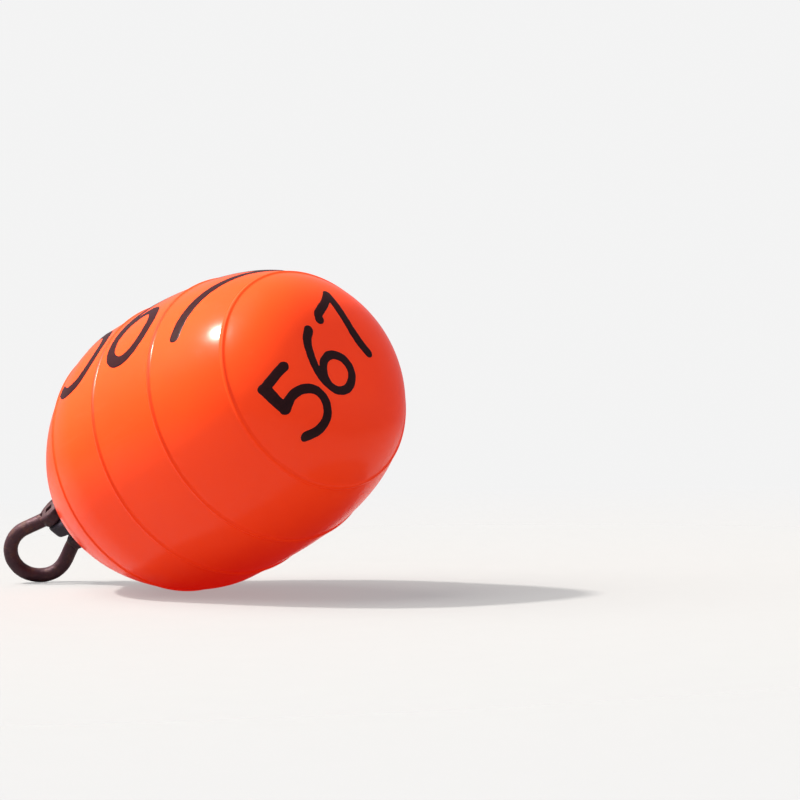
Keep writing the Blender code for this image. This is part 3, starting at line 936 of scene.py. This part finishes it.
def paint_digit(name, digit, height, width, brush, place, seed, slant=0.0):
    """One digit as a thin closed film of paint. place(across, up, lift) puts a
    point of the digit's own plane on the hull."""
    centres, radii = brush_dabs(digit, height, width, brush, seed, slant)
    flat, depth, polygons = trace_paint(*paint_field(centres, radii, brush, seed))
    verts = []
    for (across, up), inside in zip(flat, depth):
        share = min(inside / PAINT_SHOULDER, 1.0)
        lift = PAINT_EDGE + PAINT_CORE * share * (2 - share)
        lift += 0.00003 * noise.noise(Vector((across * 260, up * 260, seed + 5.0)))
        verts.append(tuple(place(across, up, lift)))
    verts += [tuple(place(across, up, PAINT_ROOT)) for across, up in flat]
    count = len(flat)
    faces = [tuple(polygon) for polygon in polygons]
    faces += [tuple(count + vert for vert in reversed(polygon)) for polygon in polygons]
    edges = {}
    for polygon in polygons:
        for edge in zip(polygon, polygon[1:] + polygon[:1]):
            edges[edge] = True
    for start, end in edges:
        if (end, start) not in edges:
            faces.append((end, start, count + start, count + end))
    obj = mesh_object(name, verts, faces)
    sharpen(obj, 60)
    dress(obj, PAINT, "hull", "hull_vinyl")


NUMBER = "567"
# Side digits stand one in each bay between ribs, with their tops towards +Z.
SIDE_HEIGHT, SIDE_WIDTH, SIDE_BRUSH = 0.128, 0.058, 0.0140
SIDE_BASE = math.radians(60.5)  # angle of the digits' feet from +Z
SIDE_SHIFT = 0.004  # towards the tail
BAYS = [(start + end) / 2 for start, end in zip(RIB_STATIONS, RIB_STATIONS[1:])]
# Crown digits: (Y, Z) directions and places on the crown's disc.
CROWN_HEIGHT, CROWN_WIDTH, CROWN_BRUSH = 0.068, 0.041, 0.0100
CROWN_PITCH = 0.0545
CROWN_MIDDLE = Vector((-0.021, 0.002))
READING = Vector((0.735, 0.678))
UPWARD = Vector((-0.678, 0.735))

for i, (digit, bay) in enumerate(zip(NUMBER, BAYS)):
    def on_side(across, up, lift):
        radial, _ = hull_normal(bay)
        station = bay + (across - SIDE_WIDTH / 2 - SIDE_SHIFT) * radial
        return hull_point(station, SIDE_BASE - up / hull_radius(station), lift)

    paint_digit(
        "side_digit_%d" % i, digit, SIDE_HEIGHT, SIDE_WIDTH, SIDE_BRUSH, on_side,
        seed=11 + i, slant=0.05,
    )

for i, digit in enumerate(NUMBER):
    centre = CROWN_MIDDLE + READING * CROWN_PITCH * (i - 1)

    def on_crown(across, up, lift):
        point = centre + READING * (across - CROWN_WIDTH / 2) + UPWARD * (up - CROWN_HEIGHT / 2)
        return crown_point(point.x, point.y, lift)

    paint_digit(
        "crown_digit_%d" % i, digit, CROWN_HEIGHT, CROWN_WIDTH, CROWN_BRUSH, on_crown,
        seed=31 + i,
    )

# -------------------------------------------------------------------- rope eye
EYE_FLANGE_RADIUS, EYE_SKIRT_RADIUS, EYE_SKIRT_THICKNESS = 0.038, 0.048, 0.0050
EYE_FLANGE_THICKNESS, EYE_FLANGE_CHAMFER = 0.0045, 0.002
EYE_NECK_RADIUS = 0.030  # where the skirt ends and the dome runs down
LUG_THICKNESS, LUG_NOSE_RADIUS, LUG_ROOT_HALF_WIDTH = 0.018, 0.020, 0.030
LUG_ROOT_DEPTH = 0.0075  # root's place inside the end of the tail curve
EYE_HOLE_RADIUS = 0.0125
# Outline in the XY plane, with Y along the hull and the thickness along the pin.
LUG_PLANE = FLOAT @ Matrix.Translation((0, 0, EYE_STATION)) @ Matrix(
    ((0, 0, 1, 0), (1, 0, 0, 0), (0, 1, 0, 0), (0, 0, 0, 1))
)


def hull_run(start, end, step, distance):
    """Points this far off the hull, strictly between two stations."""
    count = max(1, math.ceil(abs(end - start) / step))
    return [offset(start + (end - start) * i / count, distance) for i in range(1, count)]


def eye_profile():
    """Flange inside the wall, skirt outside it and a dome under the lug."""
    root = EYE_PORT_RADIUS - GAP
    inside = -WALL - GAP
    flange_edge = tail_offset_station(inside, EYE_FLANGE_RADIUS)
    flange_root = tail_offset_station(inside, root)
    top = offset(flange_edge, inside)[1] + EYE_FLANGE_THICKNESS
    profile = [
        (0.0, top),
        (EYE_FLANGE_RADIUS - EYE_FLANGE_CHAMFER, top),
        (EYE_FLANGE_RADIUS, top - EYE_FLANGE_CHAMFER),
        offset(flange_edge, inside),
        *hull_run(flange_edge, flange_root, 0.001, inside),
        offset(flange_root, inside),
    ]
    skirt_root = tail_offset_station(GAP, root)
    skirt_rim = tail_offset_station(GAP, EYE_SKIRT_RADIUS)
    outer_end = tail_offset_station(EYE_SKIRT_THICKNESS, EYE_NECK_RADIUS)
    neck = offset(outer_end, EYE_SKIRT_THICKNESS)
    profile += [
        offset(skirt_root, GAP),
        *hull_run(skirt_root, skirt_rim, 0.001, GAP),
        offset(skirt_rim, GAP),
        offset(skirt_rim, 0.0022),
        offset(skirt_rim - 0.0006, 0.0036),
        offset(skirt_rim - 0.0018, 0.0047),
        *hull_run(skirt_rim - 0.0030, outer_end, 0.0012, EYE_SKIRT_THICKNESS),
        neck,
    ]
    # Dome: radius and drop below the neck.
    dome = ((0.0228, 0.0040), (0.0176, 0.0080), (0.0138, 0.0122), (0.0106, 0.0168))
    control = [neck] + [(radius, neck[1] - drop) for radius, drop in dome]
    profile += [(point.x, point.y) for point in curve_through(control, 6)[1:]]
    profile.append((0.0, neck[1] - 0.0190))
    return profile


def lug_outline():
    """A round nose about the hole, with sides tangent to it out to the root."""
    root_y = -TAIL_LENGTH + LUG_ROOT_DEPTH - EYE_STATION
    length = math.hypot(LUG_ROOT_HALF_WIDTH, root_y)
    lean = math.atan2(LUG_ROOT_HALF_WIDTH, root_y)
    touch = math.acos(LUG_NOSE_RADIUS / length)
    start = math.pi / 2 - lean - touch
    end = -math.pi - start
    points = [(LUG_ROOT_HALF_WIDTH, root_y)]
    for i in range(49):
        angle = start + (end - start) * i / 48
        points.append((LUG_NOSE_RADIUS * math.cos(angle), LUG_NOSE_RADIUS * math.sin(angle)))
    points.append((-LUG_ROOT_HALF_WIDTH, root_y))
    return points


def slab(name, outline, half, matrix):
    count = len(outline)
    verts = [(x, y, half) for x, y in outline] + [(x, y, -half) for x, y in outline]
    faces = [tuple(range(count)), tuple(range(2 * count - 1, count - 1, -1))]
    for k in range(count):
        after = (k + 1) % count
        faces.append((k, after, count + after, count + k))
    return mesh_object(name, verts, faces, matrix)


def fillet_root(obj):
    """Flows the lug into the dome: smooths only what stands outside the hull's
    wall and clear of the eye's hole."""
    places = read_points(obj, "co")
    count = len(places)
    to_float = np.array(FLOAT.inverted())
    local = places @ to_float[:3, :3].T + to_float[:3, 3]
    radius, z = np.hypot(local[:, 0], local[:, 1]), local[:, 2]
    stations = np.linspace(-TAIL_LENGTH, -0.14, 240)
    wall = np.array([hull_radius(station) for station in stations])
    clear = np.full(count, 1.0)
    for wall_radius, station in zip(wall, stations):
        clear = np.minimum(clear, np.hypot(radius - wall_radius, z - station))
    inside = radius < np.interp(z, stations, wall, left=0.0)
    clear = np.where(inside, 0.0, clear)
    # Fades in: clear of the hull, clear of the hole, within the skirt's rim.
    weight = np.clip((clear - 0.0036) / 0.0010, 0, 1)
    weight *= np.clip((z - EYE_STATION - 0.0165) / 0.0060, 0, 1)
    weight *= np.clip((0.0440 - radius) / 0.0040, 0, 1)
    group = obj.vertex_groups.new(name="root")
    steps = np.round(weight * 10).astype(int)
    for step in range(1, 11):
        group.add([int(i) for i in np.nonzero(steps == step)[0]], step / 10, "REPLACE")
    smooth(obj, 160, "root")


eye = revolve("rope_eye_skin", eye_profile(), 144, FLOAT)
lug = slab("lug", lug_outline(), LUG_THICKNESS / 2, LUG_PLANE)
bevel(lug, width=0.0038, segments=5, angle=50)
cut(eye, lug, "UNION")
eye_hole_place = FLOAT @ Matrix.Translation((0, 0, EYE_STATION)) @ ALONG_X
cut(eye, solid_bar("eye_hole", EYE_HOLE_RADIUS, -0.03, 0.03, 96, eye_hole_place))
soften(eye, voxel=0.00075, iterations=9)
fillet_root(eye)
roughen(eye, ((70.0, 0.00012), (420.0, 0.00005)))
dress(eye, EYE, "hull", "eye_vinyl", "rope_eye")

# ----------------------------------------------------------------- shackle bow
ROD_RADIUS, JAW, BOSS_RADIUS, BOSS_WIDTH = 0.008, 0.027, 0.0168, 0.0145
BOW_RADIUS, BOW_CENTRE = 0.0316, 0.0468  # the round's radius, its place from the pin
BOW_JOIN = math.radians(-18)  # where the legs meet the round
LEG_PULL = 0.016  # length of the leg curve's handles
BOSS_OUTER = JAW / 2 + BOSS_WIDTH
PIN_RADIUS = 0.0095
PIN_HEAD_RADIUS, PIN_HEAD = 0.0115, 0.0050
PIN_SOCKET, PIN_SOCKET_DEPTH = 0.0095, 0.0075
FLUSH = 0.0004  # the pin's ends lie this far inside the bosses' faces
PIN_BORE_RADIUS = PIN_RADIUS + 0.00035 + 0.00008


def bow_path():
    """Leg, round and mirrored leg, in the plane of local X and Z."""
    start = (BOW_RADIUS * math.cos(BOW_JOIN), BOW_CENTRE + BOW_RADIUS * math.sin(BOW_JOIN))
    foot = JAW / 2 + BOSS_WIDTH / 2
    ends = (
        Vector((foot, 0.0)),
        Vector((foot, LEG_PULL)),
        Vector((
            start[0] + LEG_PULL * math.sin(BOW_JOIN),
            start[1] - LEG_PULL * math.cos(BOW_JOIN),
        )),
        Vector(start),
    )
    leg = []
    for i in range(24):
        share = i / 24
        leg.append(
            ends[0] * (1 - share) ** 3
            + ends[1] * 3 * share * (1 - share) ** 2
            + ends[2] * 3 * share * share * (1 - share)
            + ends[3] * share**3
        )
    arc = []
    for i in range(73):
        angle = BOW_JOIN + (math.pi - 2 * BOW_JOIN) * i / 72
        x, y = BOW_RADIUS * math.cos(angle), BOW_CENTRE + BOW_RADIUS * math.sin(angle)
        arc.append(Vector((x, y)))
    mirrored = [Vector((-point.x, point.y)) for point in reversed(leg)]
    return [Vector((point.x, 0.0, -point.y)) for point in leg + arc + mirrored]


bow = rod("shackle_skin", bow_path(), ROD_RADIUS, 40, SHACKLE, Vector((0, 1, 0)))
for side in (1, -1):
    low, high = sorted((side * JAW / 2, side * BOSS_OUTER))
    boss = solid_bar("boss", BOSS_RADIUS, low, high, 72, SHACKLE @ ALONG_X, chamfer=0.0018)
    cut(bow, boss, "UNION")
seat_floor = -BOSS_OUTER + FLUSH + PIN_HEAD + GAP
bow_bore = [
    (0.0, 0.05),
    (PIN_BORE_RADIUS, 0.05),
    (PIN_BORE_RADIUS, seat_floor),
    (PIN_HEAD_RADIUS + GAP, seat_floor),
    (PIN_HEAD_RADIUS + GAP, -0.05),
    (0.0, -0.05),
]
cut(bow, revolve("bow_bore", bow_bore, 100, SHACKLE @ ALONG_X))
soften(bow, voxel=0.00065, iterations=7)
roughen(bow, ((90.0, 0.00022), (330.0, 0.00012), (1100.0, 0.00005)))
dress(bow, IRON, "shackle", "shackle_iron", "shackle_bow")

# ------------------------------------------------------------------- flush pin
tip_face = BOSS_OUTER - FLUSH
head_face = -BOSS_OUTER + FLUSH
pin_profile = [
    (0.0, tip_face),
    (PIN_RADIUS - 0.0010, tip_face),
    (PIN_RADIUS - 0.0003, tip_face - 0.0003),
    (PIN_RADIUS, tip_face - 0.0010),
    (PIN_RADIUS, 0.0130),
    (PIN_RADIUS, 0.0),
    (PIN_RADIUS, head_face + PIN_HEAD),
    (PIN_HEAD_RADIUS - 0.0003, head_face + PIN_HEAD),
    (PIN_HEAD_RADIUS, head_face + PIN_HEAD - 0.0003),
    (PIN_HEAD_RADIUS, head_face + 0.0008),
    (PIN_HEAD_RADIUS - 0.0002, head_face + 0.0003),
    (PIN_HEAD_RADIUS - 0.0008, head_face),
    (0.0, head_face),
]
pin = revolve("pin_skin", pin_profile, 96, SHACKLE @ ALONG_X)
socket_size = (2 * PIN_SOCKET_DEPTH, PIN_SOCKET, PIN_SOCKET)
cut(pin, box("socket", socket_size, Matrix.Translation((head_face, 0, 0)), SHACKLE))
bevel(pin, width=0.00035, segments=3, angle=60)
sharpen(pin, 38)
dress(pin, PIN_IRON, "shackle", "shackle_iron", "shackle_pin")

# --------------------------------------------------------------- valve housing
# Heights are over the valve's own plane.
SEAT = PAD_TOP + GAP
HOUSING_TOP = SEAT + 0.0030
PLUG_LENGTH, PLUG_HEAD, WASHER_THICK = 0.0111, 0.0035, 0.0015
HEAD_BASE = HOUSING_TOP + GAP + WASHER_THICK + GAP
HEAD_TOP = HEAD_BASE + PLUG_HEAD
PLUG_TIP = HEAD_BASE - PLUG_LENGTH
BORE_RADIUS, PASSAGE_RADIUS, CHAMBER_RADIUS = 0.0063, 0.0025, 0.0046
BORE_FLOOR = PLUG_TIP - 0.0012
PASSAGE_END = BORE_FLOOR - 0.0020
CONE_END = PASSAGE_END - (CHAMBER_RADIUS - PASSAGE_RADIUS)
BARREL_LIP, BARREL_END = -0.0083, -0.0185

# Radius, height: top face with its groove, rim, barrel, then back up the bore.
housing_profile = [
    (0.0069, HOUSING_TOP),
    (0.0118, HOUSING_TOP), (0.0121, HOUSING_TOP - 0.0003),
    (0.0124, HOUSING_TOP - 0.0003), (0.0127, HOUSING_TOP),
    (0.0140, HOUSING_TOP), (0.0147, HOUSING_TOP - 0.0003), (0.0150, HOUSING_TOP - 0.0010),
    (0.0150, SEAT + 0.0002), (0.0148, SEAT), (BARREL_RADIUS, SEAT),
    (BARREL_RADIUS, BARREL_LIP), (0.0113, BARREL_LIP), (0.0113, -0.0089),
    (0.0088, -0.0113), (0.0088, BARREL_END), (CHAMBER_RADIUS, BARREL_END),
    (CHAMBER_RADIUS, CONE_END), (PASSAGE_RADIUS, PASSAGE_END), (PASSAGE_RADIUS, BORE_FLOOR),
    (BORE_RADIUS, BORE_FLOOR), (BORE_RADIUS, HOUSING_TOP - 0.0006),
]
housing = revolve("housing_skin", housing_profile, 96, VALVE, closed=True)
for k in range(4):
    place = Matrix.Rotation(math.pi / 4 + k * math.pi / 2, 4, "Z") @ Matrix.Translation(
        (0.0152, 0, HOUSING_TOP - 0.0006)
    )
    cut(housing, box("notch", (0.0022, 0.0032, 0.0024), place, VALVE))
sharpen(housing, 32)
dress(housing, NYLON, "hull", "valve_nylon", "valve_housing")

# ------------------------------------------------------------------ valve plug
THREAD_RADIUS, THREAD_PITCH, THREAD_DEPTH = 0.0060, 0.0020, 0.0008
THREAD_ROW_STEP = 0.00022
THREAD_RUN_IN = 0.0015  # length over which the groove deepens under the head
TIP_TAPER = 0.0012


def thread_radius(z, turn):
    """Radius at a height and a share of a turn."""
    phase = ((HEAD_BASE - z) / THREAD_PITCH + turn) % 1.0
    tooth = abs(phase - 0.5) * 2
    start = min((HEAD_BASE - z) / THREAD_RUN_IN, 1.0)
    groove = min(max((1 - tooth) * 1.6 - 0.3, 0.0), 1.0)
    radius = THREAD_RADIUS - THREAD_DEPTH * groove * start
    above_tip = z - PLUG_TIP
    if above_tip < TIP_TAPER:
        radius = min(radius, THREAD_RADIUS - TIP_TAPER + above_tip)
    return radius


def plug_skin():
    """Dished head on a coarse thread."""
    sides = 72
    head = [
        (0.0040, HEAD_TOP - 0.0004), (0.0098, HEAD_TOP), (0.0104, HEAD_TOP - 0.0002),
        (0.0108, HEAD_TOP - 0.0006), (0.0110, HEAD_TOP - 0.0011),
        (0.0110, HEAD_BASE + 0.0003), (0.0107, HEAD_BASE), (0.0062, HEAD_BASE),
    ]
    verts = [(0.0, 0.0, HEAD_TOP - 0.0004)]
    for radius, z in head:
        verts += [(x, y, z) for x, y in circle(radius, sides)]
    heights = []
    z = HEAD_BASE - 0.0001
    while z > PLUG_TIP + 0.0001:
        heights.append(z)
        z -= THREAD_ROW_STEP
    heights.append(PLUG_TIP)
    for z in heights:
        for k in range(sides):
            angle = 2 * math.pi * k / sides
            radius = thread_radius(z, k / sides)
            verts.append((radius * math.cos(angle), radius * math.sin(angle), z))
    last = len(verts) - sides
    faces = fan(sides)
    for first in range(1, last, sides):
        faces += band(first, first + sides, sides)
    faces.append(tuple(range(last, last + sides)))
    return mesh_object("plug_skin", verts, faces, VALVE)


plug = plug_skin()
cut(plug, box("slot", (0.0024, 0.0300, 0.0040), Matrix.Translation((0, 0, HEAD_TOP)), VALVE))
bevel(plug, width=0.00018, segments=2, angle=60)
sharpen(plug, 35)
dress(plug, PLUG, "plug", "plug_nylon", "valve_plug")

# CAD pieces that keep their own shape.
for node, material in (
    ("ball_retainer", CLIP),
    ("check_ball", BALL),
    ("plug_washer", WASHER),
):
    repaint(frame["nodes"][node], material)

# ----------------------------------------------------------------------- floor
# The camera's own directions, and its place from the belly.
CAMERA_RIGHT = Vector((0.62347, 0.74283, -0.24392))
CAMERA_UP = Vector((0.32763, 0.03504, 0.94416))
CAMERA_BACK = Vector((0.70989, -0.66856, -0.22153))
CAMERA_FROM_BELLY = Vector((2.40425, -1.95766, -0.73854))
FLOOR_RADIUS = 2.6
FLOOR_GAP = 0.0002


def node_points(name):
    return np.array([vert.co for vert in frame["nodes"][name].data.vertices])


def lowest(points, tilt):
    normal = np.array((math.sin(tilt), 0.0, math.cos(tilt)))
    return float((points @ normal).min())


def resting_tilt(hull_points, bow_points):
    """The floor's slope along the hull at which hull and bow both touch it."""
    low, high = math.radians(10), math.radians(35)
    for _ in range(50):
        tilt = (low + high) / 2
        if lowest(bow_points, tilt) > lowest(hull_points, tilt):
            low = tilt
        else:
            high = tilt
    return tilt


hull_points = node_points("float_body")
tilt = resting_tilt(hull_points, node_points("shackle_bow"))
floor_normal = Vector((math.sin(tilt), 0.0, math.cos(tilt)))
floor_height = lowest(hull_points, tilt) - FLOOR_GAP

floor_mesh = bpy.data.meshes.new("floor")
disc = bmesh.new()
bmesh.ops.create_circle(disc, cap_ends=True, segments=96, radius=FLOOR_RADIUS)
disc.to_mesh(floor_mesh)
disc.free()
floor = link(bpy.data.objects.new("floor", floor_mesh))
floor_turn = floor_normal.to_track_quat("Z", "Y").to_matrix().to_4x4()
floor_foot = BELLY - floor_normal * (BELLY.dot(floor_normal) - floor_height)
floor.matrix_world = Matrix.Translation(floor_foot) @ floor_turn


def floor_pale():
    """Pale floor that fades out towards its rim and is clear from below."""
    mat = Surface("floor_pale")
    cloud = mat.noise(scale=30.0, detail=3.0)
    base = mat.ramp(
        cloud, span=(0.3, 0.7), first=(0.195, 0.195, 0.197), last=(0.200, 0.200, 0.202)
    )
    mat.set("Base Color", base)
    mat.set("Roughness", 0.85)
    mat.set("Specular IOR Level", 0.1)
    # Brightened for the camera only, so that it lights nothing.
    mat.set("Emission Color", (1.0, 1.0, 1.0))
    mat.set("Emission Strength", mat.times(mat.camera_ray(), 0.34))
    geometry = mat.add("ShaderNodeNewGeometry")
    clear = mat.add("ShaderNodeBsdfTransparent")
    distance = mat.add("ShaderNodeVectorMath", operation="LENGTH")
    mat.join(mat.position, distance.inputs[0])
    share = mat.math("DIVIDE", distance.outputs["Value"], FLOOR_RADIUS)
    fade = mat.ramp(share, span=(0.16, 0.85))
    hidden = mat.math("MAXIMUM", fade, geometry.outputs["Backfacing"])
    blend = mat.add("ShaderNodeMixShader")
    mat.join(hidden, blend.inputs[0])
    mat.join(mat.shader.outputs[0], blend.inputs[1])
    mat.join(clear.outputs[0], blend.inputs[2])
    mat.join(blend.outputs[0], mat.output.inputs["Surface"])
    return mat.material


floor_mesh.materials.append(floor_pale())

# ----------------------------------------------------------------------- world
PALE = (0.90, 0.90, 0.90)  # what the camera sees behind the float

world = bpy.data.worlds.new("studio")
scene.world = world
world.use_nodes = True
background = world.node_tree.nodes["Background"]
studio = Nodes(world.node_tree, "Generated")
sky = studio.ramp(
    studio.facing(floor_normal),
    span=(0.30, 0.62), first=(0.20, 0.16, 0.15), last=(0.34, 0.34, 0.37),
)
studio.join(studio.mix(studio.camera_ray(), sky, PALE), background.inputs["Color"])
background.inputs["Strength"].default_value = 1.0

# ---------------------------------------------------------------------- lights
WARM = (1.0, 0.955, 0.88)
GLINT = Vector((-0.020, -0.531, 0.847)).normalized()
KEY = (GLINT - 0.26 * CAMERA_BACK).normalized()


def add_light(name, kind, location, energy, color, hidden_from, **settings):
    """A light aimed at the belly, unseen by one kind of ray."""
    light = bpy.data.lights.new(name, kind)
    for key, value in {"energy": energy, "color": color, **settings}.items():
        setattr(light, key, value)
    obj = link(bpy.data.objects.new(name, light))
    obj.location = location
    setattr(obj, "visible_" + hidden_from, False)
    direction = (BELLY - obj.location).normalized()
    obj.rotation_mode = "QUATERNION"
    obj.rotation_quaternion = direction.to_track_quat("-Z", "Y")


# From the camera's upper left: a key for the diffuse light, a spark for the
# highlights alone, and a broad veil round the key. Then a soft overhead disc.
add_light(
    "key", "SUN", BELLY + KEY * 3.0,
    energy=6.2, color=WARM, hidden_from="glossy", angle=math.radians(4.0),
)
add_light(
    "spark", "SUN", BELLY + GLINT * 3.1,
    energy=5.5, color=WARM, hidden_from="diffuse", angle=math.radians(5.0),
)
add_light(
    "veil", "SUN", BELLY + KEY * 3.2,
    energy=4.2, color=WARM, hidden_from="glossy", angle=math.radians(64.0),
)
add_light(
    "overhead", "AREA", BELLY + floor_normal * 2.0 - CAMERA_RIGHT * 1.2 + CAMERA_BACK * 0.9,
    energy=6.0, color=(1.0, 0.97, 0.93), hidden_from="glossy", shape="DISK", size=1.8,
)

# ---------------------------------------------------------------------- camera
camera = bpy.data.cameras.new("camera")
camera.sensor_width = 36.0
camera.lens = 135.0
camera.shift_y = 0.0375
camera.clip_end = 50.0
camera_obj = link(bpy.data.objects.new("camera", camera))
camera_obj.matrix_world = axes_matrix(
    BELLY + CAMERA_FROM_BELLY, CAMERA_RIGHT, CAMERA_UP, CAMERA_BACK
)
scene.camera = camera_obj
scene.view_settings.view_transform = "Standard"
scene.view_settings.look = "None"
